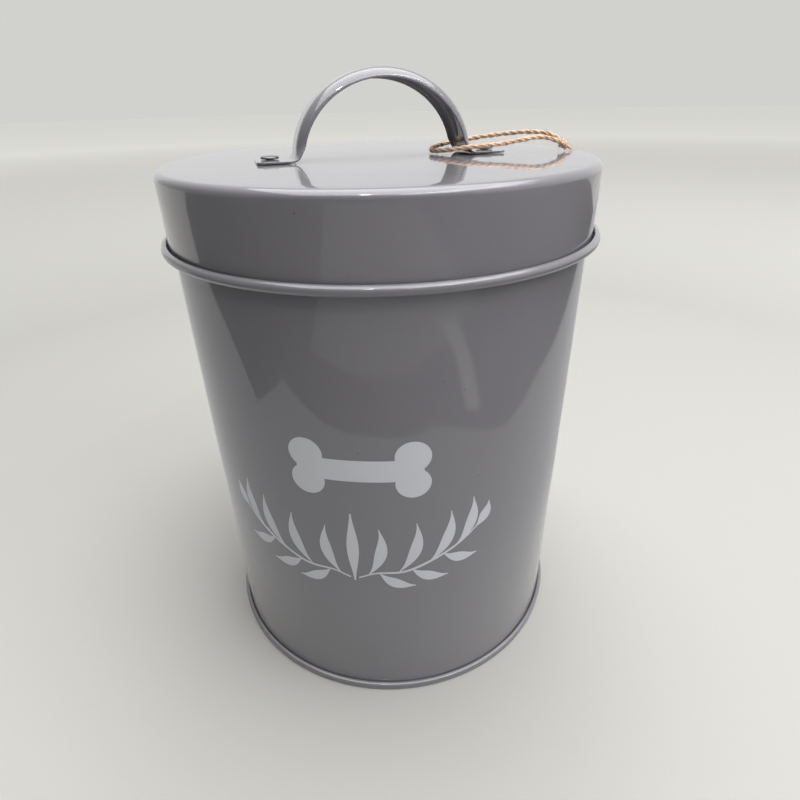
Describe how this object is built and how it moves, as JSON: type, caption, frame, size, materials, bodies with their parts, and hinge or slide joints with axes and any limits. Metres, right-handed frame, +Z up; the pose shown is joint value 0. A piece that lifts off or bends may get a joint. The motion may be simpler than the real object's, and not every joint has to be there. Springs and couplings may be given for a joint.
{
  "type": "pet treat canister",
  "caption": "Round painted sheet-metal treat canister with a slip-over lid, a riveted strap handle on the lid and a short loop of jute twine round the handle.",
  "frame": {"origin": "middle of the base, on the surface that the canister stands on", "axes": "+Z up along the canister's axis, -Y towards the front, where the printed picture is, +X to the right seen from the front"},
  "size_m": [0.158, 0.158, 0.2224],
  "materials": {
    "wall_paint": "gloss",
    "base_paint": "gloss",
    "lid_paint": "gloss",
    "handle_paint": "gloss",
    "rivet_steel": "satin",
    "jute": "matte"
  },
  "bodies": {
    "canister": {"body_wall": "wall_paint", "base_plate": "base_paint"},
    "lid": {"lid_cap": "lid_paint", "handle": "handle_paint", "rivet_left": "rivet_steel", "rivet_right": "rivet_steel", "twine_loop": "jute", "twine_knot": "jute"}
  },
  "joints": [
    {"name": "lid_lift", "type": "slide", "parent": "canister", "child": "lid", "axis": [0, 0, 1], "range_m": [0, 0.07]}
  ]
}
